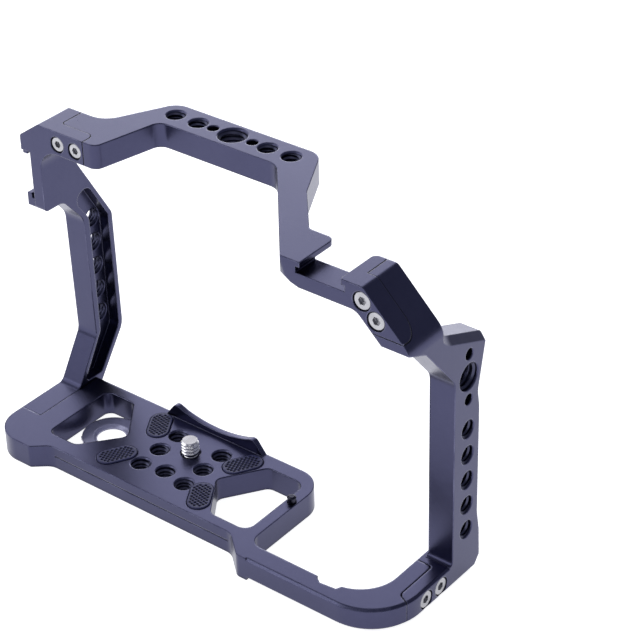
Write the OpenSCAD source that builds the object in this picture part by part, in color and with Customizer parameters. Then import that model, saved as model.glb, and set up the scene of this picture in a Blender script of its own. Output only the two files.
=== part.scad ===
// Camera cage: a base with a captive camera screw, two side arms and a top
// bar, bolted together at four joints.  Millimetres, +Z up, +Y toward the lens.
// The origin is the camera screw's axis on the face the camera sits on.

/* [Frame] */
// Height of the top faces above the camera seat
top_z = 112.5; // [106:0.5:120]
// Thickness of the top bar
bar_t = 9; // [8:0.5:10]
// Thickness of the base
base_t = 9; // [8:0.5:11]
// Outer face of the right arm
right_x = 109.6; // [109:0.1:112]
// Outer face of the left arm
left_x = -67.5; // [-69:0.1:-67]
// Depth of the channel in the left arm's inner face
channel_d = 4.5; // [4:0.1:6]

/* [Threaded holes] */
// Wall radius of a quarter-inch hole
quarter_r = 3.2; // [3.1:0.05:3.4]
// Chamfer at the mouth of a quarter-inch hole
quarter_c = 0.5; // [0.2:0.1:0.8]
// Wall radius of a three-eighths hole
three_r = 4.8; // [4.7:0.05:5]
// Chamfer at the mouth of a three-eighths hole
three_c = 0.6; // [0.2:0.1:0.8]
// Radius of a locating hole beside a three-eighths hole
locating_r = 1.95; // [1.5:0.05:2.2]
// Distance between neighbouring holes on the arms
pitch = 10; // [10:0.5:11]

/* [Cold shoes] */
// Width of the slot under the lips
shoe_w = 18.8; // [18.6:0.1:19.2]
// Width between the lips
shoe_open = 15.5; // [12.6:0.1:16.2]
// Height of the slot under the lips
shoe_h = 2.2; // [2:0.1:2.4]
// Thickness of a lip
shoe_lip = 1.9; // [1.5:0.1:2.2]

/* [Camera screw] */
// How far the screw stands above the seat
screw_rise = 5.5; // [4:0.1:6]
// Radius of the screw thread
screw_r = 3.17; // [3.1:0.01:3.18]
// Radius of the neck below the thread
neck_r = 2.6; // [2.4:0.05:2.65]
// Running clearance around the neck
neck_gap = 0.08; // [0.05:0.01:0.1]
// Radius of the screw head
knob_r = 6.2; // [5.5:0.1:6.3]

/* [Grip pads] */
// Length of a pad
pad_l = 14.5; // [13:0.5:15]
// Width of a pad
pad_w = 8; // [7:0.5:8]
// How far a pad stands above the seat
pad_rise = 0.4; // [0.2:0.1:0.6]
// Depth of a pad's recess
pad_depth = 1.4; // [1:0.1:2]

/* [Joint screws] */
// Head radius of the shoulder and foot screws
big_head_r = 3.2; // [3:0.1:3.3]
// Head radius of the screws behind the left joint
small_head_r = 2.8; // [2.5:0.1:3]
// How far a screw head lies below its face
head_inset = 0.35; // [0.2:0.05:0.6]

/* [Hidden] */
$fn = 72;
e = 0.01;
bar_z = top_z - bar_t;
shoe_x = 76.2;
shoe_z = 91.2;
loop_r = 19.5;
shoe_floor = top_z - shoe_lip - shoe_h;
head_x = left_x + 0.4;
side_floor = head_x + shoe_lip + shoe_h;
left_in = -58.5;
right_in = 99.9;
arm_c = 0.3;
seam = 0.25;
split_z = 97.5;
head_h = 2;
joint_gap = 0.06;
top_hole_y = 30.3;
pads = [[-19.6, 5.8, -60], [19.3, 5.3, 60], [-19.9, -16.5, 60], [19.1, -17.1, -60]];
quarter_base = [[10, 5], [-10, 5], [10, -5], [-10, -5], [10, -15.1], [-10, -15.1], [0, -13.5]];
head_screws = [[-49.5, 107.6], [-41.5, 107.6]];
shoulder_screws = [[91.9, 107.4], [97.1, 102.2]];
foot_screws = [-10.85, -2.7];
foot_screw_z = -4.6;

// ---------------------------------------------------------------- outlines
function unit2(v) = v / norm(v);
function at(p, i) = [p[(i + len(p)) % len(p)][0], p[(i + len(p)) % len(p)][1]];
function cross2(a, b) = a[0] * b[1] - a[1] * b[0];

// points of the rounding of corner b, on the way from a to c
function rounded(a, b, c, r) = r <= 0 ? [b] :
    let (e1 = unit2(a - b), e2 = unit2(c - b), half = acos(e1 * e2) / 2,
         ctr = b + unit2(e1 + e2) * (r / sin(half)), u = b + e1 * (r / tan(half)) - ctr,
         sweep = (180 - 2 * half) * sign(cross2(b - a, c - b)),
         n = max(2, ceil(abs(sweep) / 5)))
    [for (i = [0 : n]) let (g = sweep * i / n)
        ctr + [u[0] * cos(g) - u[1] * sin(g), u[0] * sin(g) + u[1] * cos(g)]];

// outline of [x, y, corner radius] points, counter-clockwise
function outline(p) = [for (i = [0 : len(p) - 1])
    each rounded(at(p, i - 1), at(p, i), at(p, i + 1), p[i][2])];
module rpoly(p) polygon(outline(p));

// 2-D (y, z) outline carried along X, and 2-D (x, z) outline along Y
module along_x(x0, x1) translate([x0, 0, 0]) rotate([90, 0, 90]) linear_extrude(x1 - x0) children();
module along_y(y0, y1) translate([0, y1, 0]) rotate([90, 0, 0]) linear_extrude(y1 - y0) children();
module along_z(z0, z1) translate([0, 0, z0]) linear_extrude(z1 - z0) children();

// through hole with a chamfer at both mouths, from z = 0 to z = h
module through(r, c, h) {
    translate([0, 0, -1]) cylinder(r = r, h = h + 2);
    translate([0, 0, -0.5]) cylinder(r1 = r + c + 0.5, r2 = r, h = c + 0.5);
    translate([0, 0, h - c]) cylinder(r1 = r, r2 = r + c + 0.5, h = c + 0.5);
}

// cuts off what lies beyond the plane through p with outward normal n
module slice(p, n, s) translate(p) rotate([0, acos(n[2] / norm(n)), atan2(n[1], n[0])])
    translate([-s, -s, 0]) cube([2 * s, 2 * s, s]);

// screw with its head top at z = 0 and its shank going down
module cap_screw(hr, sr, l) {
    difference() {
        union() {
            translate([0, 0, -head_h]) cylinder(r = hr, h = head_h - 0.3);
            translate([0, 0, -0.3 - e]) cylinder(r1 = hr, r2 = hr - 0.3, h = 0.3 + e);
            translate([0, 0, -head_h - l]) cylinder(r = sr, h = l + e);
        }
        translate([0, 0, -1.2]) cylinder(r = hr * 0.47, h = 2, $fn = 6);
    }
}

// the hole for that screw, for a face at z = 0
module cap_seat(hr, sr, l) {
    translate([0, 0, -head_inset - head_h]) cylinder(r = hr + 0.22, h = head_h + 2);
    translate([0, 0, -head_inset - head_h - l - 0.4]) cylinder(r = sr + joint_gap, h = l + 1);
}

module at_head(i) translate([head_screws[i][0], -2.7, head_screws[i][1]]) rotate([90, 0, 0]) children();
module at_shoulder(i) translate([shoulder_screws[i][0], -20.5, shoulder_screws[i][1]]) rotate([90, 0, 0]) children();
module at_right_foot(i) translate([right_x, foot_screws[i], foot_screw_z]) rotate([0, 90, 0]) children();
module at_left_foot(i) translate([left_x, foot_screws[i], foot_screw_z]) rotate([0, -90, 0]) children();

// ---------------------------------------------------------------- base
// whole footprint of the base, feet of the arms included
rear = [[-48.5, -31.3, 0], [-42.6, -26.4, 6], [40.3, -26.4, 6], [49, -34, 0]];
module footprint() rpoly([
    [left_x, 15, 1], [left_x, -31.3, 12], [-48.5, -31.3, 1.5], rear[1], rear[2],
    [49, -34, 3], [right_x, -34, loop_r], [right_x, 15, 1],
    [98.5, 15, 1], [98.5, -26.6, 14.5], [48.4, -26.6, 5], [48.4, 15, 10]]);

// what the arms' feet take out of it
module right_foot_area() rpoly([
    [104.6, -18.3, 2.4], [130, -30.3, 0], [130, 30, 0], [90, 30, 0],
    [90, -0.7, 0], [104.6, -0.7, 1.2]]);
module left_foot_area() rpoly([
    [-90, -15, 0], [left_in, -15, 1.2], [left_in, 30, 0], [-90, 30, 0]]);

module pocket_1() rpoly([
    [-49.2, 10.6, 3], [-49.2, -20.6, 3], [-36, -20.6, 3.5], [-24.3, -6, 3], [-36.5, 10.6, 3]]);
module pocket_2() rpoly([
    [17.2, -6.5, 3], [28, -22.2, 3.5], [44, -22.2, 4], [44, 9.2, 4], [27.8, 9.2, 3.5]]);

module pad_area(g) hull_free_stadium(pad_l + 2 * g, pad_w + 2 * g);
module hull_free_stadium(l, w) {
    square([l - w, w], center = true);
    translate([(l - w) / 2, 0]) circle(r = w / 2);
    translate([-(l - w) / 2, 0]) circle(r = w / 2);
}

// sloped relief above the rear edge, between the left lug and the loop
module rear_relief() {
    tilt = atan(2.45 / 3.7);
    p = concat([at(rear, 0)], rounded(at(rear, 0), at(rear, 1), at(rear, 2), rear[1][2]),
               rounded(at(rear, 1), at(rear, 2), at(rear, 3), rear[2][2]), [at(rear, 3)]);
    intersection() {
        translate([-80, -60, -3.7]) cube([200, 60, 10]);
        intersection_for (i = [0 : len(p) - 2])
            translate([p[i][0], p[i][1], -3.7])
                rotate([0, 0, atan2(p[i + 1][1] - p[i][1], p[i + 1][0] - p[i][0])])
                    rotate([-tilt, 0, 0]) translate([-120, -60, 0]) cube([240, 60, 30]);
    }
}

// rear corner of the loop: a small chamfer above, a wider one below
loop_top = 0.8;
loop_low = 1.4;
module loop_hole() rpoly([[98.5, 40, 0], [48.4, 40, 0], [48.4, -26.6, 5], [98.5, -26.6, 14.5]]);
module loop_round() translate([right_x - loop_r, -34 + loop_r, 0]) intersection() {
    rotate_extrude() polygon([[0, -base_t], [loop_r - loop_low, -base_t], [loop_r, -base_t + loop_low],
                              [loop_r, -loop_top], [loop_r - loop_top, 0], [0, 0]]);
    translate([0, -loop_r - 1, -base_t - 1]) cube([loop_r + 1, loop_r + 1, base_t + 2]);
}
module loop_corner() difference() {
    loop_round();
    along_z(-base_t - 1, 1) loop_hole();
    along_z(-base_t - 1, 1) right_foot_area();
}
module right_foot() {
    intersection() {
        loop_round();
        along_z(-base_t - 1, 1) right_foot_area();
    }
    difference() {
        along_z(-base_t, 0) intersection() {
            footprint();
            right_foot_area();
            translate([90, -34 + loop_r]) square([30, 60]);
        }
        along_y(-34, 2) polygon([[right_x + 0.5, -loop_top - 0.5], [right_x + 0.5, 0.5], [right_x - loop_top - 0.5, 0.5]]);
    }
}
module loop_edges() along_x(53, right_x - loop_r) {
    polygon([[-34 - 0.5, -loop_top - 0.5], [-34 + loop_top + 0.5, 0.5], [-34 - 0.5, 0.5]]);
    polygon([[-34 - 0.5, -base_t + loop_low + 0.5], [-34 - 0.5, -base_t - 0.5], [-34 + loop_low + 0.5, -base_t - 0.5]]);
}

module base_plate() {
    color([0.20, 0.20, 0.27]) {
        difference() {
            union() {
                loop_corner();
                along_z(-base_t, 0) difference() {
                    footprint();
                    translate([right_x - loop_r, -35]) square([loop_r + 1, loop_r + 1]);
                    right_foot_area();
                    left_foot_area();
                    pocket_1();
                    pocket_2();
                    polygon([[87.1, -26], [86.1, -28.3], [80, -28.9], [77.6, -27.2], [77.4, -26]]);
                }
                lens_lip();
                // eye in the floor of the left pocket
                along_z(-base_t, -base_t + 1.6) intersection() {
                    difference() {
                        union() {
                            translate([-37.3, -1.2]) circle(r = 10.6);
                            polygon([[-45.4, -8.6], [-27, -14.8], [-20, -6], [-30, 9], [-37, 0]]);
                        }
                        translate([-37.3, -1.2]) circle(r = 5.3);
                    }
                    pocket_1_wide();
                }
            }
            // camera screw: mouth, land and head recess
            translate([0, 0, -1.4]) cylinder(r = 3.6, h = 3);
            translate([0, 0, -base_t]) cylinder(r = neck_r + neck_gap, h = base_t);
            translate([0, 0, -base_t - 1]) cylinder(r = knob_r + 0.4, h = base_t - 4.5 + 1);
            for (q = quarter_base) translate([q[0], q[1], -base_t]) through(quarter_r, quarter_c, base_t);
            for (q = pads) translate([q[0], q[1], -pad_depth]) rotate([0, 0, q[2]])
                linear_extrude(pad_depth + 1) pad_area(0.2);
            translate([46.2, -1, -3]) cylinder(r = 1.5 + 0.02, h = 4);
            rear_relief();
            // line between the bevel and the band below it
            translate([-41, -26.4 - 1, -4.3]) cube([80, 1.4, 0.45]);
            loop_edges();
            // visible seam round the right foot; the two still meet on the plane the screws press
            along_z(-base_t - 1, 1) translate([0, -seam]) right_foot_area();
            along_z(-0.6, 1) translate([-seam, -seam]) right_foot_area();
            // relief of the eye's hole
            translate([-37.3, -1.2, -base_t + 0.6]) cylinder(r1 = 5.3, r2 = 6.5, h = 1.1);
            for (i = [0 : 1]) {
                at_right_foot(i) cap_seat(big_head_r, 1.9, 7.5);
                at_left_foot(i) cap_seat(big_head_r, 1.9, 11);
            }
        }
    }
}
module pocket_1_wide() rpoly([
    [-49.2, 11.6, 0], [-49.2, -20.6, 0], [-35.2, -21.6, 0], [-23.3, -6, 0], [-35.8, 11.6, 0]]);

// upstand at the front edge that clears the lens barrel
lip_r = 49.6;
module lens_lip() along_y(13, 15) rpoly(concat(
    [[-22.6, -base_t + 1, 0], [22.2, -base_t + 1, 0], [22.2, -0.1, 0], [17.8, 5.6, 2.1]],
    [for (x = [14 : -2 : -14]) [x, lip_r + 2.1 - sqrt(lip_r * lip_r - x * x), 0]],
    [[-18.2, 5.8, 2.1], [-22.6, -0.1, 0]]));

// ---------------------------------------------------------------- right arm
tilt = [[20.2, 81.9, 0.8], [-3, 91.5, 9], [-3, top_z, 0]];

// wide chamfer beside the tilted top and its run-up into the shoulder
module tilt_chamfer() {
    p = concat([at(tilt, 0)], rounded(at(tilt, 0), at(tilt, 1), at(tilt, 2), 9.37));
    intersection() {
        translate([right_x - 6, -3.01, 70]) cube([10, 30, 40]);
        intersection_for (i = [0 : len(p) - 2])
            translate([right_x - 2.4, p[i][0], p[i][1]])
                rotate([atan2(p[i + 1][1] - p[i][1], p[i + 1][0] - p[i][0]) - 180, 0, 0])
                    rotate([0, atan(2.6 / 2.4), 0]) translate([-20, -60, 0]) cube([60, 120, 60]);
    }
}

// side outline (y, z): foot, column, overhang and shoulder
module right_side() rpoly([
    [3.5, -base_t, 0], [15, -base_t, 0], [18.7, -4.6, 1.5], [18.3, 6, 4], [17, 14, 6], [17, 56, 12],
    [16, 62.5, 8], tilt[0], [-3, 91.5, 9], [-3, top_z, 0],
    [-13, top_z, 0], [-13, split_z, 5], [-20.5, split_z, 0], [-20.5, 94.35, 0],
    [-12, 90.7, 6], [3.5, 71.7, 6]]);

// front outline (x, z) of everything to the right of the shoe
module right_front(x0) rpoly([
    [x0, bar_z, 0], [89.7, bar_z, 5], [right_in, 93.6, 0], [right_in, -base_t, 0],
    [right_x, -base_t, 0], [right_x, 95.4, 7], [92.5, top_z, 2.4], [x0, top_z, 0]]);

module shoulder_share() intersection() {
    along_y(-30, 30) right_front(88.8);
    along_x(80, 120) right_side();
}

module right_arm() {
    color([0.20, 0.20, 0.27])
    difference() {
        union() {
            shoulder_share();
            right_foot();
            // fillet between the foot and the column
            along_x(right_in, right_x) difference() {
                polygon([[2, -e], [3.6, -e], [3.6, 1.6], [2, 1.6]]);
                translate([2, 1.6]) circle(r = 1.5);
            }
        }
        for (i = [0 : 4]) arm_hole(10.9, 10.3 + pitch * i) through(quarter_r, arm_c, right_x - right_in);
        arm_hole(10.9, 61.8) through(locating_r, 0.2, right_x - right_in);
        arm_hole(10.9, 70.3) through(three_r, arm_c, right_x - right_in);
        arm_hole(10.9, 78.8) through(locating_r, 0.2, right_x - right_in);
        tilt_chamfer();
        // lower outer edge of the foot
        along_y(-34 + loop_r, 30) polygon([[right_x + 0.5, -base_t + loop_low + 0.5], [right_x + 0.5, -base_t - 0.5],
                                           [right_x - loop_low - 0.5, -base_t - 0.5]]);
        for (i = [0 : 1]) {
            at_shoulder(i) cap_seat(big_head_r, 1.9, 14);
            at_right_foot(i) cap_seat(big_head_r, 1.9, 7.5);
        }
    }
}
module arm_hole(y, z) translate([right_in, y, z]) rotate([0, 90, 0]) children();

// ---------------------------------------------------------------- top plate
// plan of the left joint: what belongs to the left arm
module left_joint_area() rpoly([
    [-90, -2.7, 0], [-37.6, -2.7, 0], [-37.6, 3, 2.5], [-52.3, 3, 1.5], [-52.3, 13, 0], [-90, 13, 0]]);

module bar_plan() rpoly([
    [-56, -2.7, 0], [-31.9, -2.7, 3.5], [-26.1, 23.2, 4], [24.6, 23.2, 7],
    [61, -20.5, 0], [shoe_x - shoe_open / 2, -20.5, 0], [shoe_x - shoe_open / 2, -2.7, 2.5],
    [58.5, -2.7, 2.5], [43.4, 15.2, 9], [31.9, 37, 7], [-29.8, 37, 7], [-42.3, 13, 9], [-56, 13, 0]]);

module top_plate() {
    color([0.20, 0.20, 0.27])
    difference() {
        union() {
            along_z(bar_z, top_z) difference() {
                bar_plan();
                left_joint_area();
                translate([seam, 0]) left_joint_area();
            }
            // floor of the cold shoe
            translate([60.99, -20.5, bar_z]) cube([25, 10, shoe_floor - bar_z]);
            // block to the right of the shoe, less the right arm's share
            intersection() {
                along_y(-20.5, -3) right_front(shoe_x + shoe_open / 2);
                along_z(split_z - 1, top_z + 1) rpoly([[shoe_x + shoe_open / 2, -20.5, 0.8], [130, -20.5, 0],
                                                       [130, -3, 0], [shoe_x + shoe_open / 2, -3, 2.2]]);
                difference() {
                    along_x(60, 120) polygon([[-20.5, split_z], [-3, split_z], [-3, top_z], [-20.5, top_z]]);
                    shoulder_share();
                    translate([-seam, 0, 0]) shoulder_share();
                    translate([0, 0, seam]) shoulder_share();
                }
            }
        }
        // slot under the lips
        translate([shoe_x - shoe_w / 2, -30, shoe_floor]) cube([shoe_w, 40, shoe_h]);
        translate([shoe_x - shoe_w / 2, -10.5, bar_z - 1]) cube([shoe_w, 20, shoe_floor - bar_z + 2]);
        translate([0, top_hole_y, bar_z]) through(three_r, three_c, bar_t);
        for (s = [-1, 1]) {
            translate([8.5 * s, top_hole_y, bar_z]) through(locating_r, 0.2, bar_t);
            translate([15 * s, top_hole_y, bar_z]) through(quarter_r, quarter_c, bar_t);
            translate([25 * s, top_hole_y, bar_z]) through(quarter_r, quarter_c, bar_t);
        }
        // softened lower corner where the bar turns into the shoe
        for (q = [[1, 1.86], [2.6, 1.70], [0.4, 1.40]])
            slice([61, -20.5, bar_z] - unit2([-0.768, -1.64, -q[0]]) * q[1], [-0.768, -1.64, -q[0]], 7);
        // open space under the left lip, behind the bar
        along_z(bar_z - 1, top_z - shoe_lip) polygon([[58.5, -2], [58.5, -2.7], [65, -10.5], [70, -10.5], [70, -2]]);
        for (i = [0 : 1]) {
            at_shoulder(i) cap_seat(big_head_r, 1.9, 14);
            at_head(i) cap_seat(small_head_r, 1.5, 12);
        }
    }
}

// ---------------------------------------------------------------- left arm
// side outline (y, z)
module left_side() rpoly([
    [-15, -base_t, 0], [15, -base_t, 0], [15, -6, 2], [30.4, 15.9, 8], [29.6, 63.8, 5],
    [13, 92.7, 5], [13, top_z, 0], [-2.7, top_z, 0], [-2.7, 78.3, 1.8], [6.4, 78.3, 4.5],
    [15.35, 67.6, 7], [16.65, 17.8, 6], [5.7, 0, 3], [-15, 0, 0]]);

// channel between the two rims (y, z)
module channel() rpoly([
    [8.6, 1.2, 1.5], [17.9, 1.2, 1.5], [28.5, 16.4, 6], [27.7, 63.6, 3], [18.6, 79.6, 3.2],
    [13, 77.2, 3], [13.3, 73.6, 1.5], [18.1, 66.6, 5], [18.9, 18.9, 4]]);

// front outline (x, z)
module left_front() rpoly([
    [left_x, -base_t, 0], [left_in, -base_t, 0], [left_in, bar_z, 8.5], [-37.6, bar_z, 0],
    [-37.6, top_z, 0], [-58.3, top_z, 1], [head_x, 106.2, 1.6], [head_x, 77.6, 0], [left_x, 77.6, 0]]);

module left_arm() {
    color([0.20, 0.20, 0.27])
    difference() {
        intersection() {
            along_y(-40, 40) left_front();
            along_x(-70, -37) left_side();
            union() {
                along_z(-base_t - 1, bar_z - 7) translate([-70, -40]) square([40, 80]);
                along_z(bar_z - 8, top_z + 1) left_joint_area();
            }
        }
        // channel in the inner face
        along_x(left_in - channel_d, left_in + 1) channel();
        for (i = [0 : 4]) translate([left_x, 23.9, 22.5 + pitch * i]) rotate([0, 90, 0])
            through(quarter_r, arm_c, left_in - channel_d - left_x);
        // cold shoe on the outer side
        translate([side_floor - shoe_h, -10, shoe_z - shoe_w / 2]) cube([shoe_h, 40, shoe_w]);
        translate([head_x - 1, -10, shoe_z - shoe_open / 2]) cube([shoe_lip + 1.5, 40, shoe_open]);
        // lips stop short of the rear face
        translate([head_x - 1.1, -10, 75]) cube([5.2, 8.1, 12]);
        translate([head_x - 1.1, -10, 95]) cube([3.2, 8.1, shoe_z + shoe_w / 2 - 95]);
        for (i = [0 : 1]) {
            at_head(i) cap_seat(small_head_r, 1.5, 12);
            at_left_foot(i) cap_seat(big_head_r, 1.9, 11);
        }
    }
}

// ---------------------------------------------------------------- screws and pads
module camera_screw() {
    color([0.78, 0.78, 0.80])
    difference() {
        union() {
            translate([0, 0, -0.05]) cylinder(r = screw_r, h = screw_rise - 0.35);
            translate([0, 0, screw_rise - 0.4]) cylinder(r1 = screw_r, r2 = screw_r - 0.4, h = 0.4);
            translate([0, 0, -5]) cylinder(r = neck_r, h = 5);
            translate([0, 0, -7.9]) cylinder(r = knob_r, h = 3.3);
        }
        translate([-knob_r - 1, -0.8, -8.9]) cube([2 * knob_r + 2, 1.6, 2.4]);
    }
}

module grip_pad(i) {
    color([0.10, 0.10, 0.12])
    translate([pads[i][0], pads[i][1], -pad_depth]) rotate([0, 0, pads[i][2]])
    difference() {
        linear_extrude(pad_depth + pad_rise) pad_area(0);
        translate([0, 0, pad_depth + pad_rise - 0.45]) linear_extrude(1)
            for (a = [-3 : 3], b = [-1.5 : 1.5])
                if (abs(a) * 1.75 + max(0, abs(b) * 1.75 - 1.2) < 6)
                    translate([a * 1.75, b * 1.75]) rotate([0, 0, 45]) square(0.85, center = true);
    }
}
module grip_pad_1() grip_pad(0);
module grip_pad_2() grip_pad(1);
module grip_pad_3() grip_pad(2);
module grip_pad_4() grip_pad(3);

module locating_pin() {
    color([0.08, 0.08, 0.09])
    translate([46.2, -1, -3]) {
        cylinder(r = 1.5, h = 5);
        translate([0, 0, 5 - e]) cylinder(r1 = 1.5, r2 = 1, h = 0.5 + e);
    }
}

module left_head_screw_1() color([0.78, 0.78, 0.80]) at_head(0) translate([0, 0, -head_inset]) cap_screw(small_head_r, 1.5, 12);
module left_head_screw_2() color([0.78, 0.78, 0.80]) at_head(1) translate([0, 0, -head_inset]) cap_screw(small_head_r, 1.5, 12);
module shoulder_screw_1() color([0.78, 0.78, 0.80]) at_shoulder(0) translate([0, 0, -head_inset]) cap_screw(big_head_r, 1.9, 14);
module shoulder_screw_2() color([0.78, 0.78, 0.80]) at_shoulder(1) translate([0, 0, -head_inset]) cap_screw(big_head_r, 1.9, 14);
module right_foot_screw_1() color([0.78, 0.78, 0.80]) at_right_foot(0) translate([0, 0, -head_inset]) cap_screw(big_head_r, 1.9, 7.5);
module right_foot_screw_2() color([0.78, 0.78, 0.80]) at_right_foot(1) translate([0, 0, -head_inset]) cap_screw(big_head_r, 1.9, 7.5);
module left_foot_screw_1() color([0.78, 0.78, 0.80]) at_left_foot(0) translate([0, 0, -head_inset]) cap_screw(big_head_r, 1.9, 11);
module left_foot_screw_2() color([0.78, 0.78, 0.80]) at_left_foot(1) translate([0, 0, -head_inset]) cap_screw(big_head_r, 1.9, 11);

// ---------------------------------------------------------------- assembly
base_plate();
left_arm();
top_plate();
right_arm();
camera_screw();
grip_pad_1();
grip_pad_2();
grip_pad_3();
grip_pad_4();
locating_pin();
left_head_screw_1();
left_head_screw_2();
shoulder_screw_1();
shoulder_screw_2();
right_foot_screw_1();
right_foot_screw_2();
left_foot_screw_1();
left_foot_screw_2();
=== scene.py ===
import math

import bmesh
import bpy
from mathutils import Matrix, Vector


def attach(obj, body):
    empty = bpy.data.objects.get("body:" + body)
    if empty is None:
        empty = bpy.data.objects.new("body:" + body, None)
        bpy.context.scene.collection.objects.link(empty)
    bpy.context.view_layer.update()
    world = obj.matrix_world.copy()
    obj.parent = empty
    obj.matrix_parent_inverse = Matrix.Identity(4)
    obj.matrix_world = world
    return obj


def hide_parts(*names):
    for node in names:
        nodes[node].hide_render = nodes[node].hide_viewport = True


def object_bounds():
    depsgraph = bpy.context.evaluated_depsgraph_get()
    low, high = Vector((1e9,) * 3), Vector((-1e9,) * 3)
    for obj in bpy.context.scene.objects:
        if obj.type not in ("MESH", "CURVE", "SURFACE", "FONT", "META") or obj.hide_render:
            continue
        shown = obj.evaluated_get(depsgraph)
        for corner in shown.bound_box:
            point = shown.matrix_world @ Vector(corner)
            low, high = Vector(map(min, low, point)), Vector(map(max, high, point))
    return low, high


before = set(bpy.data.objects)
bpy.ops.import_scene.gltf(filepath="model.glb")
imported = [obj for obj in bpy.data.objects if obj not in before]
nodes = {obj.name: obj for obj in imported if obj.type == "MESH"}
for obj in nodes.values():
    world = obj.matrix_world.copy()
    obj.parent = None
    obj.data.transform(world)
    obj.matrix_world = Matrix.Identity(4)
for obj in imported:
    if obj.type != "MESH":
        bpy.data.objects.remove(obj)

cad_box = [list(c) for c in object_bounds()]
scene = bpy.context.scene
MM = 0.001


# ------------------------------------------------------------------ materials
def material(name):
    m = bpy.data.materials.new(name)
    m.use_nodes = True
    nt = m.node_tree
    b = next(n for n in nt.nodes if n.type == "BSDF_PRINCIPLED")
    return m, nt, b


def add(nt, kind, **values):
    n = nt.nodes.new(kind)
    for k, v in values.items():
        if k in n.inputs:
            n.inputs[k].default_value = v
        else:
            setattr(n, k, v)
    return n


def math_node(nt, op, a, b):
    n = nt.nodes.new("ShaderNodeMath")
    n.operation = op
    for i, v in enumerate((a, b)):
        if isinstance(v, (int, float)):
            n.inputs[i].default_value = v
        else:
            nt.links.new(v, n.inputs[i])
    return n.outputs[0]


def ramp(nt, fac, stops):
    n = nt.nodes.new("ShaderNodeValToRGB")
    while len(n.color_ramp.elements) < len(stops):
        n.color_ramp.elements.new(0.5)
    for el, (p, c) in zip(n.color_ramp.elements, stops):
        el.position = p
        el.color = (*c, 1.0) if len(c) == 3 else c
    nt.links.new(fac, n.inputs["Fac"])
    return n.outputs["Color"]


def map_range(nt, value, a, b, c, d):
    n = nt.nodes.new("ShaderNodeMapRange")
    n.inputs["From Min"].default_value = a
    n.inputs["From Max"].default_value = b
    n.inputs["To Min"].default_value = c
    n.inputs["To Max"].default_value = d
    nt.links.new(value, n.inputs["Value"])
    return n.outputs["Result"]


def noise(nt, coords, scale, detail=2.0, rough=0.5):
    n = add(nt, "ShaderNodeTexNoise", Scale=scale, Detail=detail, Roughness=rough)
    nt.links.new(coords, n.inputs["Vector"])
    return n.outputs["Fac"]


def inside_box(nt, xyz, box):
    x0, x1, y0, y1, z0 = (v * MM for v in box)
    plan = math_node(nt, "MULTIPLY",
                     math_node(nt, "MULTIPLY", math_node(nt, "GREATER_THAN", xyz.outputs[0], x0),
                               math_node(nt, "LESS_THAN", xyz.outputs[0], x1)),
                     math_node(nt, "MULTIPLY", math_node(nt, "GREATER_THAN", xyz.outputs[1], y0),
                               math_node(nt, "LESS_THAN", xyz.outputs[1], y1)))
    return math_node(nt, "MULTIPLY", plan, math_node(nt, "GREATER_THAN", xyz.outputs[2], z0))


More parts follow.
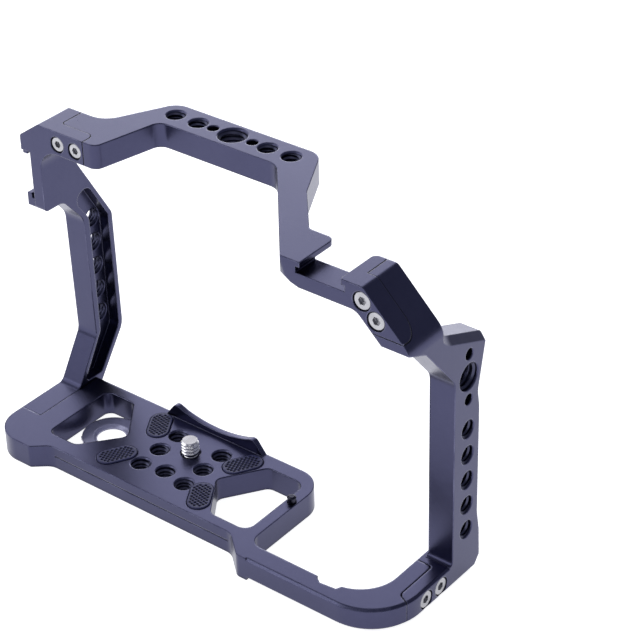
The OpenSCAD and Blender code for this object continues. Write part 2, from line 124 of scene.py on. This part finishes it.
def anodised(name, dark, light, rough, grain, soft=0.0, highlight_wear_colour=None, bare=None, tight=()):
    """Bead-blasted, dark anodised aluminium: fine grain, slow changes of tone and gloss, softened edges lightened in
    patches, partly painted highlight and partly edge wear.
    """
    m, nt, b = material(name)
    co = add(nt, "ShaderNodeTexCoord").outputs["Object"]
    slow = noise(nt, co, 28.0, 3.0, 0.55)
    mid = noise(nt, co, 420.0, 3.0, 0.6)
    fine = noise(nt, co, 3200.0, 2.0, 0.6)
    tone = math_node(nt, "ADD", math_node(nt, "MULTIPLY", slow, 0.6),
                     math_node(nt, "ADD", math_node(nt, "MULTIPLY", mid, 0.22), math_node(nt, "MULTIPLY", fine, 0.18)))
    colour = ramp(nt, tone, [(0.32, dark), (0.68, light)])
    b.inputs["Metallic"].default_value = 1.0
    r = math_node(nt, "ADD", math_node(nt, "MULTIPLY", slow, 0.6), math_node(nt, "MULTIPLY", mid, 0.4))
    gloss = map_range(nt, r, 0.3, 0.7, rough - 0.035, rough + 0.035)
    bump = add(nt, "ShaderNodeBump", Strength=grain, Distance=0.00004)
    nt.links.new(math_node(nt, "ADD", math_node(nt, "MULTIPLY", fine, 0.75), math_node(nt, "MULTIPLY", mid, 0.5)), bump.inputs["Height"])
    if soft:
        edge = add(nt, "ShaderNodeBevel", Radius=soft * MM)
        edge.samples = 8
        if tight:
            # the edges along the joints are sharper than the outer ones
            xyz = nt.nodes.new("ShaderNodeSeparateXYZ")
            nt.links.new(co, xyz.inputs[0])
            near = inside_box(nt, xyz, tight[0])
            for box in tight[1:]:
                near = math_node(nt, "MAXIMUM", near, inside_box(nt, xyz, box))
            nt.links.new(map_range(nt, near, 0.0, 1.0, soft * MM, 0.34 * MM), edge.inputs["Radius"])
        nt.links.new(edge.outputs["Normal"], bump.inputs["Normal"])
        turn = nt.nodes.new("ShaderNodeVectorMath")
        turn.operation = "DOT_PRODUCT"
        nt.links.new(edge.outputs["Normal"], turn.inputs[0])
        nt.links.new(add(nt, "ShaderNodeNewGeometry").outputs["Normal"], turn.inputs[1])
        # painted highlight and edge wear: where the rounded-edge normal turns from the face, the colour goes lighter in
        # patches
        rim = map_range(nt, turn.outputs["Value"], 0.99, 0.84, 0.0, 1.0)
        patchy = map_range(nt, noise(nt, co, 90.0, 4.0, 0.65), 0.42, 0.64, 0.15, 1.0)
        highlight_wear_mask = math_node(nt, "MULTIPLY", rim, patchy)
        mix = nt.nodes.new("ShaderNodeMix")
        mix.data_type = "RGBA"
        nt.links.new(highlight_wear_mask, mix.inputs["Factor"])
        nt.links.new(colour, mix.inputs["A"])
        mix.inputs["B"].default_value = (*highlight_wear_colour, 1)
        colour = mix.outputs["Result"]
        gloss = math_node(nt, "SUBTRACT", gloss, math_node(nt, "MULTIPLY", rim, 0.10))
        if tight:
            # painted shadow along the joints, on the rounded edges next to them
            mix = nt.nodes.new("ShaderNodeMix")
            mix.data_type = "RGBA"
            nt.links.new(math_node(nt, "MULTIPLY", near, map_range(nt, turn.outputs["Value"], 0.998, 0.96, 0.0, 0.9)), mix.inputs["Factor"])
            nt.links.new(colour, mix.inputs["A"])
            mix.inputs["B"].default_value = (0.008, 0.008, 0.018, 1)
            colour = mix.outputs["Result"]
    if bare:
        xyz = nt.nodes.new("ShaderNodeSeparateXYZ")
        nt.links.new(co, xyz.inputs[0])
        x, y, z, radius, top = bare
        off = math_node(nt, "SQRT", math_node(nt, "ADD",
                                              math_node(nt, "POWER", math_node(nt, "SUBTRACT", xyz.outputs[0], x), 2.0),
                                              math_node(nt, "POWER", math_node(nt, "SUBTRACT", xyz.outputs[1], y), 2.0)), 0.0)
        here = math_node(nt, "MULTIPLY", math_node(nt, "LESS_THAN", off, radius), math_node(nt, "LESS_THAN", xyz.outputs[2], top))
        here = math_node(nt, "MULTIPLY", here, map_range(nt, mid, 0.3, 0.7, 0.85, 1.0))
        nt.links.new(math_node(nt, "SUBTRACT", 1.0, math_node(nt, "MULTIPLY", here, 0.75)), b.inputs["Metallic"])
        # painted highlight: the long bevel at the rear, picked by its normal facing rearwards and up, is painted
        # lighter and coarser
        side = nt.nodes.new("ShaderNodeSeparateXYZ")
        nt.links.new(add(nt, "ShaderNodeNewGeometry").outputs["Normal"], side.inputs[0])
        painted_bevel_highlight = math_node(nt, "MULTIPLY", math_node(nt, "LESS_THAN", side.outputs[1], -0.4), math_node(nt, "GREATER_THAN", side.outputs[2], 0.25))
        painted_bevel_highlight = math_node(nt, "MULTIPLY", painted_bevel_highlight, map_range(nt, fine, 0.36, 0.62, 0.25, 1.0))
        mix = nt.nodes.new("ShaderNodeMix")
        mix.data_type = "RGBA"
        nt.links.new(painted_bevel_highlight, mix.inputs["Factor"])
        nt.links.new(colour, mix.inputs["A"])
        mix.inputs["B"].default_value = (0.105, 0.107, 0.180, 1)
        colour = mix.outputs["Result"]
        mix = nt.nodes.new("ShaderNodeMix")
        mix.data_type = "RGBA"
        nt.links.new(here, mix.inputs["Factor"])
        nt.links.new(colour, mix.inputs["A"])
        mix.inputs["B"].default_value = (0.42, 0.42, 0.60, 1)
        colour = mix.outputs["Result"]
    if soft:
        # painted shade: seams and inner corners are darkened by an ambient occlusion mask
        shade = add(nt, "ShaderNodeAmbientOcclusion", Distance=0.0012)
        shade.samples = 6
        nt.links.new(colour, shade.inputs["Color"])
        depth = map_range(nt, shade.outputs["AO"], 0.25, 0.95, 0.12, 1.0)
        mix = nt.nodes.new("ShaderNodeMix")
        mix.data_type = "RGBA"
        nt.links.new(depth, mix.inputs["Factor"])
        mix.inputs["A"].default_value = (0.006, 0.006, 0.012, 1)
        nt.links.new(colour, mix.inputs["B"])
        colour = mix.outputs["Result"]
    nt.links.new(colour, b.inputs["Base Color"])
    nt.links.new(gloss, b.inputs["Roughness"])
    nt.links.new(bump.outputs["Normal"], b.inputs["Normal"])
    return m


def steel(name, colour, rough, turned, end=None):
    """Bright nickel-plated steel with a faint fine-grain bump."""
    m, nt, b = material(name)
    co = add(nt, "ShaderNodeTexCoord").outputs["Object"]
    fine = noise(nt, co, 2600.0, 2.0, 0.55)
    slow = noise(nt, co, 300.0, 2.0, 0.5)
    dark = tuple(0.86 * c for c in colour)
    shown = ramp(nt, slow, [(0.35, dark), (0.65, colour)])
    if end:
        # painted shade: the up-facing end face is given a darker colour than the thread
        up = nt.nodes.new("ShaderNodeSeparateXYZ")
        nt.links.new(add(nt, "ShaderNodeNewGeometry").outputs["Normal"], up.inputs[0])
        mix = nt.nodes.new("ShaderNodeMix")
        mix.data_type = "RGBA"
        nt.links.new(map_range(nt, up.outputs[2], 0.90, 0.97, 0.0, 1.0), mix.inputs["Factor"])
        nt.links.new(shown, mix.inputs["A"])
        nt.links.new(ramp(nt, slow, [(0.35, tuple(0.8 * c for c in end)), (0.65, end)]), mix.inputs["B"])
        shown = mix.outputs["Result"]
    nt.links.new(shown, b.inputs["Base Color"])
    b.inputs["Metallic"].default_value = 1.0
    nt.links.new(map_range(nt, fine, 0.3, 0.7, rough - 0.05, rough + 0.06), b.inputs["Roughness"])
    bump = add(nt, "ShaderNodeBump", Strength=turned, Distance=0.00002)
    nt.links.new(fine, bump.inputs["Height"])
    nt.links.new(bump.outputs["Normal"], b.inputs["Normal"])
    return m


def rubber(name):
    """Moulded rubber: satin, with its dimples darkened by painted shade."""
    m, nt, b = material(name)
    co = add(nt, "ShaderNodeTexCoord").outputs["Object"]
    slow = noise(nt, co, 180.0, 3.0, 0.6)
    fine = noise(nt, co, 2400.0, 2.0, 0.6)
    pit = add(nt, "ShaderNodeAttribute", attribute_name="pit").outputs["Fac"]
    base = ramp(nt, slow, [(0.3, (0.043, 0.045, 0.118)), (0.7, (0.062, 0.065, 0.160))])
    # painted shade: the pits are darkened almost to black
    mix = nt.nodes.new("ShaderNodeMix")
    mix.data_type = "RGBA"
    nt.links.new(pit, mix.inputs["Factor"])
    nt.links.new(base, mix.inputs["A"])
    mix.inputs["B"].default_value = (0.004, 0.004, 0.012, 1)
    nt.links.new(mix.outputs["Result"], b.inputs["Base Color"])
    nt.links.new(map_range(nt, fine, 0.3, 0.7, 0.42, 0.58), b.inputs["Roughness"])
    b.inputs["Specular IOR Level"].default_value = 0.36
    bump = add(nt, "ShaderNodeBump", Strength=0.25, Distance=0.00004)
    nt.links.new(fine, bump.inputs["Height"])
    nt.links.new(bump.outputs["Normal"], b.inputs["Normal"])
    return m


BODY = anodised("anodised_body", (0.053, 0.054, 0.102), (0.066, 0.067, 0.124), 0.30, 0.55, 0.75, (0.150, 0.152, 0.235),
                tight=((-53.4, -36.5, -1.7, 12.4, 95), (-38.5, -36.7, -4.0, -1.7, 95), (79.2, 82.5, -19.7, -3.9, 95), (82.5, 109.0, -19.9, -3.9, 88)))
BASE = anodised("anodised_base", (0.053, 0.054, 0.102), (0.066, 0.067, 0.124), 0.30, 0.55, 0.75, (0.150, 0.152, 0.235),
                (-0.0373, -0.0012, 0, 0.0114, -0.0052))
THREAD = anodised("anodised_thread", (0.050, 0.051, 0.085), (0.070, 0.072, 0.115), 0.30, 0.15)
STEEL = steel("nickel_steel", (0.43, 0.43, 0.45), 0.27, 0.25)
SCREW = steel("camera_screw_steel", (0.88, 0.87, 0.89), 0.20, 0.2, (0.32, 0.315, 0.335))
RUBBER = rubber("moulded_rubber")
PIN = anodised("satin_black_steel", (0.030, 0.030, 0.045), (0.042, 0.042, 0.060), 0.34, 0.2)


# ------------------------------------------------------------------ modifiers of the CAD nodes
def clean_group():
    """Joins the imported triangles' doubled points, shades smooth and marks edges over 28 degrees sharp."""
    g = bpy.data.node_groups.new("clean_solid", "GeometryNodeTree")
    g.interface.new_socket("Geometry", in_out="INPUT", socket_type="NodeSocketGeometry")
    g.interface.new_socket("Geometry", in_out="OUTPUT", socket_type="NodeSocketGeometry")
    i, o = g.nodes.new("NodeGroupInput"), g.nodes.new("NodeGroupOutput")
    merge = g.nodes.new("GeometryNodeMergeByDistance")
    merge.inputs["Distance"].default_value = 2e-6
    faces = g.nodes.new("GeometryNodeSetShadeSmooth")
    faces.domain = "FACE"
    edges = g.nodes.new("GeometryNodeSetShadeSmooth")
    edges.domain = "EDGE"
    angle = g.nodes.new("GeometryNodeInputMeshEdgeAngle")
    less = g.nodes.new("FunctionNodeCompare")
    less.data_type, less.operation = "FLOAT", "LESS_THAN"
    less.inputs["B"].default_value = math.radians(28)
    g.links.new(angle.outputs["Unsigned Angle"], less.inputs["A"])
    g.links.new(i.outputs[0], merge.inputs["Geometry"])
    g.links.new(merge.outputs["Geometry"], faces.inputs["Geometry"])
    g.links.new(faces.outputs["Geometry"], edges.inputs["Geometry"])
    g.links.new(less.outputs["Result"], edges.inputs["Shade Smooth"])
    g.links.new(edges.outputs["Geometry"], o.inputs[0])
    return g


CLEAN = clean_group()


def dress(name, mats, width, segments=2, limit=50):
    o = nodes[name]
    o.data.materials.clear()
    for m in mats:
        o.data.materials.append(m)
    for s, m in zip(o.material_slots, mats):
        s.material = m
    mod = o.modifiers.new("clean", "NODES")
    mod.node_group = CLEAN
    d = o.modifiers.new("planar", "DECIMATE")
    d.decimate_type = "DISSOLVE"
    d.angle_limit = math.radians(0.4)
    d.delimit = {"SHARP"}
    if width:
        b = o.modifiers.new("edges", "BEVEL")
        b.width = width * MM
        b.segments = segments
        b.limit_method = "ANGLE"
        b.angle_limit = math.radians(limit)
        b.use_clamp_overlap = False
        b.miter_outer = "MITER_SHARP"
        if len(mats) > 1:
            b.material = 1
    w = o.modifiers.new("normals", "WEIGHTED_NORMAL")
    w.keep_sharp = True
    w.mode = "FACE_AREA"
    w.weight = 50
    return o


for n in ("base_plate", "left_arm", "top_plate", "right_arm"):
    dress(n, [BASE if n == "base_plate" else BODY], 0)
for n in nodes:
    if n.endswith(("_screw_1", "_screw_2")):
        dress(n, [STEEL], 0.1, 2, 40)
dress("locating_pin", [PIN], 0.12, 2, 40)


# ------------------------------------------------------------------ meshes
def make(name, verts, faces, mat, body, slot, flat=False, angle=40):
    me = bpy.data.meshes.new(name)
    me.from_pydata([tuple(v) for v in verts], [], faces)
    me.validate()
    bm = bmesh.new()
    bm.from_mesh(me)
    bmesh.ops.recalc_face_normals(bm, faces=bm.faces)
    for f in bm.faces:
        f.smooth = not flat
    for e in bm.edges:
        e.smooth = e.calc_face_angle(0.0) < math.radians(angle)
    bm.to_mesh(me)
    bm.free()
    me.materials.append(mat)
    o = bpy.data.objects.new(name, me)
    scene.collection.objects.link(o)
    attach(o, body)
    return o


def lathe(profile, segs, z0=0.0):
    """Closed surface of revolution about Z from (r, z) points; r = 0 ends become poles."""
    verts, faces, rings = [], [], []
    for r, z in profile:
        if r <= 1e-9:
            verts.append((0, 0, z + z0))
            rings.append([len(verts) - 1])
        else:
            rings.append([])
            for i in range(segs):
                a = 2 * math.pi * i / segs
                verts.append((r * math.cos(a), r * math.sin(a), z + z0))
                rings[-1].append(len(verts) - 1)
    for a, b in zip(rings, rings[1:]):
        for i in range(segs):
            j = (i + 1) % segs
            if len(a) == 1 and len(b) == 1:
                continue
            if len(a) == 1:
                faces.append((a[0], b[i], b[j]))
            elif len(b) == 1:
                faces.append((a[i], a[j], b[0]))
            else:
                faces.append((a[i], a[j], b[j], b[i]))
    return verts, faces


def ridge(r_root, r_crest, pitch, z0, z1, segs, root_w=0.84, crest_w=0.14, limit=None, phase=0.0):
    """One helical thread ridge between z0 and z1, from its root radius to its crest radius, tapering out at both ends."""
    turns = (z1 - z0) / pitch
    n = max(8, int(round(turns * segs)))
    verts, faces = [], []
    for k in range(n + 1):
        t = k / n
        z = z0 + (z1 - z0) * t
        a = phase + 2 * math.pi * turns * t
        fade = min(1.0, t * turns / 0.3, (1 - t) * turns / 0.3)
        fade = fade * fade * (3 - 2 * fade)
        rc = r_root + (r_crest - r_root) * max(fade, 0.02)
        if limit:
            rc = min(rc, limit(z))
        half, tip = root_w * pitch / 2 * max(fade, 0.25), crest_w * pitch / 2 * max(fade, 0.25)
        for r, dz in ((r_root, -half), (rc, -tip), (rc, tip), (r_root, half)):
            verts.append((r * math.cos(a), r * math.sin(a), z + dz))
    for k in range(n):
        a, b = 4 * k, 4 * (k + 1)
        for i in range(4):
            j = (i + 1) % 4
            faces.append((a + i, a + j, b + j, b + i))
    faces.append((3, 2, 1, 0))
    faces.append(tuple(4 * n + i for i in range(4)))
    return verts, faces


def placed(vf, matrix):
    return [matrix @ Vector(v) for v in vf[0]], vf[1]


def joined(parts):
    verts, faces = [], []
    for v, f in parts:
        k = len(verts)
        verts += list(v)
        faces += [tuple(i + k for i in q) for q in f]
    return verts, faces


def mm(vf):
    return [Vector(v) * MM for v in vf[0]], vf[1]


# ------------------------------------------------------------------ threads in the tapped holes
along_x = Matrix.Rotation(math.radians(90), 4, "Y")
along_z = Matrix.Identity(4)


def tapped(x, y, z, turn, length, big=False, inset=0.55):
    r_wall, r_in, pitch = (4.8, 4.05, 1.5875) if big else (3.2, 2.6, 1.27)
    m = Matrix.Translation((x, y, z)) @ turn
    segs = 44 if big else 36
    half = pitch * 0.42
    return placed(ridge(r_wall + 0.04, r_in, pitch, inset + half * 0.6, length - inset - half * 0.6, segs, 0.86, 0.12, phase=1.1 * x + 0.7 * y), m)


base_holes = [(10, 5), (-10, 5), (10, -5), (-10, -5), (10, -15.1), (-10, -15.1), (0, -13.5)]
make("base_threads", *mm(joined([tapped(x, y, -9, along_z, 9) for x, y in base_holes])), THREAD, "cage", "anodised_aluminium")
top = [tapped(x, 30.3, 103.5, along_z, 9) for x in (-25, -15, 15, 25)] + [tapped(0, 30.3, 103.5, along_z, 9, True)]
make("top_threads", *mm(joined(top)), THREAD, "cage", "anodised_aluminium")
right = [tapped(99.9, 10.9, 10.3 + 10 * i, along_x, 9.7, inset=0.4) for i in range(5)] + [tapped(99.9, 10.9, 70.3, along_x, 9.7, True, 0.4)]
make("right_threads", *mm(joined(right)), THREAD, "cage", "anodised_aluminium")
left = [tapped(-67.5, 23.9, 22.5 + 10 * i, along_x, 4.5, inset=0.35) for i in range(5)]
make("left_threads", *mm(joined(left)), THREAD, "cage", "anodised_aluminium")


# ------------------------------------------------------------------ camera screw
def screw_head():
    """Slotted head under the base, built as a turned disc with the slot cut out of it."""
    prof = [(0, -4.6), (6.05, -4.6), (6.2, -4.75), (6.2, -7.55), (5.85, -7.9), (0, -7.9)]
    a = bpy.data.meshes.new("head_tmp")
    v, f = mm(lathe(prof, 96))
    a.from_pydata([tuple(q) for q in v], [], f)
    ao = bpy.data.objects.new("head_tmp", a)
    b = bpy.data.meshes.new("slot_tmp")
    bm = bmesh.new()
    bmesh.ops.create_cube(bm, size=1.0, matrix=Matrix.Translation((0, 0, -7.7 * MM)) @ Matrix.Diagonal((15 * MM, 1.6 * MM, 2.4 * MM, 1)))
    bm.to_mesh(b)
    bm.free()
    bo = bpy.data.objects.new("slot_tmp", b)
    for o in (ao, bo):
        scene.collection.objects.link(o)
    mod = ao.modifiers.new("slot", "BOOLEAN")
    mod.operation, mod.object, mod.solver = "DIFFERENCE", bo, "EXACT"
    bev = ao.modifiers.new("soft", "BEVEL")
    bev.width, bev.segments, bev.limit_method, bev.angle_limit = 0.12 * MM, 2, "ANGLE", math.radians(60)
    bpy.context.view_layer.update()
    dg = bpy.context.evaluated_depsgraph_get()
    me = bpy.data.meshes.new_from_object(ao.evaluated_get(dg))
    verts, faces = [tuple(q.co / MM) for q in me.vertices], [tuple(p.vertices) for p in me.polygons]
    for o in (ao, bo):
        bpy.data.objects.remove(o)
    return verts, faces


core = lathe([(0, -4.7), (2.6, -4.7), (2.6, -0.55), (2.45, -0.4), (2.52, -0.2), (2.52, 4.95), (2.66, 5.2), (2.72, 5.42), (2.62, 5.5), (0, 5.5)], 64)
spiral = ridge(2.46, 3.17, 1.27, -0.15, 5.05, 64, 0.96, 0.2, limit=lambda z: 2.80 + max(0.0, 5.5 - z) * 0.9)
screw = make("camera_screw_detail", *mm(joined([core, spiral, screw_head()])), SCREW, "screw", "steel", angle=30)
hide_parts("camera_screw")


# ------------------------------------------------------------------ rubber pads
def pad(name, node, x, y, turn):
    """Rounded pad with a rim and staggered round pits, as rings of points from its outline inward."""
    length, width, top_z, depth = 14.5, 8.0, 0.4, 1.4
    r0, half = width / 2, (length - width) / 2
    around = 240
    verts, faces, pits = [], [], []

    def outline(off):
        r = max(r0 - off, 0.02)
        straight, arc = 2 * half, math.pi * r0
        total = 2 * (straight + arc)
        pts = []
        for i in range(around):
            s = total * i / around
            if s < straight:
                pts.append((-half + s, -r))
            elif s < straight + arc:
                a = -math.pi / 2 + (s - straight) / r0
                pts.append((half + r * math.cos(a), r * math.sin(a)))
            elif s < 2 * straight + arc:
                pts.append((half - (s - straight - arc), r))
            else:
                a = math.pi / 2 + (s - 2 * straight - arc) / r0
                pts.append((-half + r * math.cos(a), r * math.sin(a)))
        return pts

    def pit(px, py, off):
        if off < 0.75:
            return 0.0
        sx, sy = 1.62, 0.94
        best = 9.0
        row = round(py / sy)
        for j in (row - 1, row, row + 1):
            shift = sx / 2 if j % 2 else 0.0
            col = round((px - shift) / sx)
            for i in (col - 1, col, col + 1):
                cx, cy = i * sx + shift, j * sy
                inside = r0 - math.hypot(max(abs(cx) - half, 0.0), cy)
                if inside < 0.95:
                    continue
                best = min(best, math.hypot(px - cx, py - cy))
        t = min(1.0, max(0.0, (0.56 - best) / 0.20))
        return t * t * (3 - 2 * t)

    steps = [(0.0, -depth), (0.0, top_z - 0.3), (0.07, top_z - 0.14), (0.16, top_z - 0.04), (0.3, top_z)]
    off = 0.3
    while off < r0 - 0.06:
        off += 0.125
        steps.append((min(off, r0), top_z))
    for off, z in steps:
        for px, py in outline(off):
            p = pit(px, py, off)
            verts.append((px, py, z - 0.42 * p))
            pits.append(p)
    for k in range(len(steps) - 1):
        for i in range(around):
            j = (i + 1) % around
            faces.append((k * around + i, k * around + j, (k + 1) * around + j, (k + 1) * around + i))
    faces.append(tuple(range(around - 1, -1, -1)))
    last = (len(steps) - 1) * around
    faces.append(tuple(last + i for i in range(around)))
    m = Matrix.Translation((x, y, 0)) @ Matrix.Rotation(math.radians(turn), 4, "Z")
    o = make(name, *mm(placed((verts, faces), m)), RUBBER, "cage", "rubber", angle=60)
    at = o.data.attributes.new("pit", "FLOAT", "POINT")
    at.data.foreach_set("value", pits)
    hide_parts(node)
    return o


for i, (x, y, turn) in enumerate([(-19.6, 5.8, -60), (19.3, 5.3, 60), (-19.9, -16.5, 60), (19.1, -17.1, -60)]):
    pad(f"pad_detail_{i + 1}", f"grip_pad_{i + 1}", x, y, turn)


# ------------------------------------------------------------------ floor
m, nt, b = material("pale_floor")
b.inputs["Base Color"].default_value = (0.86, 0.86, 0.87, 1)
b.inputs["Roughness"].default_value = 0.9
b.inputs["Specular IOR Level"].default_value = 0.1
b.inputs["Emission Color"].default_value = (1.0, 1.0, 1.0, 1)
b.inputs["Emission Strength"].default_value = 0.90
me = bpy.data.meshes.new("floor")
z = cad_box[0][2] - 0.00002
me.from_pydata([(-6, -6, z), (6, -6, z), (6, 6, z), (-6, 6, z)], [], [(0, 1, 2, 3)])
me.materials.append(m)
floor = bpy.data.objects.new("floor", me)
scene.collection.objects.link(floor)


# ------------------------------------------------------------------ light
def area(name, at, to, sx, sy, radiance, colour=(1, 1, 1)):
    d = bpy.data.lights.new(name, "AREA")
    d.shape = "RECTANGLE"
    d.size, d.size_y = sx, sy
    d.energy = radiance * math.pi * sx * sy
    d.color = colour
    o = bpy.data.objects.new(name, d)
    o.location = at
    o.rotation_mode = "QUATERNION"
    o.rotation_quaternion = (Vector(to) - Vector(at)).to_track_quat("-Z", "Y")
    scene.collection.objects.link(o)
    return o


def around(azimuth, height, distance):
    """A point at an azimuth from +X and a height angle, in degrees, and a distance from the object."""
    a, e = math.radians(azimuth), math.radians(height)
    return (distance * math.cos(e) * math.cos(a), distance * math.cos(e) * math.sin(a), distance * math.sin(e) + 0.04)


MIDDLE = (0.0, 0.0, 0.05)
for name, at, sx, sy, radiance in (
        ("front_left", around(129, 33, 1.6), 1.3, 0.9, 1.50),
        ("front_left_near", (-0.33, 0.44, 0.50), 0.42, 0.30, 0.40),
        ("front_left_low", around(129, 12, 1.6), 1.3, 0.5, 2.60),
        ("front_left_horizon", around(122, 3, 1.7), 1.0, 0.30, 1.10),
        ("front_low", around(100, 10, 1.5), 0.7, 0.4, 0.50),
        ("left", around(180, 30, 1.5), 1.0, 0.9, 1.30),
        ("rear", around(275, 30, 1.5), 0.9, 0.8, 0.35),
        ("rear_left", around(225, 35, 1.5), 1.0, 0.9, 1.42),
        ("rear_left_low", around(236, 20, 1.5), 0.7, 0.45, 1.20),
        ("overhead", (0.0, 0.0, 1.6), 0.9, 0.9, 0.45)):
    area(name, at, MIDDLE, sx, sy, radiance)

world = bpy.data.worlds.new("studio")
world.use_nodes = True
bg = next(n for n in world.node_tree.nodes if n.type == "BACKGROUND")
bg.inputs["Color"].default_value = (0.74, 0.78, 1.0, 1)
bg.inputs["Strength"].default_value = 0.28
scene.world = world
scene.view_settings.view_transform = "Standard"
scene.view_settings.look = "None"
scene.view_settings.exposure = 0.0


# ------------------------------------------------------------------ camera
cam = bpy.data.cameras.new("camera")
cam.sensor_fit = "HORIZONTAL"
cam.sensor_width = 36.0
cam.lens = 2191.15 / 640 * 36.0
cam.clip_start, cam.clip_end = 0.01, 50
co = bpy.data.objects.new("camera", cam)
right_v, down_v, fwd_v = Vector((0.78783, 0.61555, -0.0206)), Vector((0.3199, -0.43756, -0.84036)), Vector((-0.5263, 0.65547, -0.54163))
rot = Matrix((right_v, -down_v, -fwd_v)).transposed()
co.matrix_world = Matrix.Translation((0.42519, -0.45531, 0.45441)) @ rot.to_4x4()
scene.collection.objects.link(co)
scene.camera = co
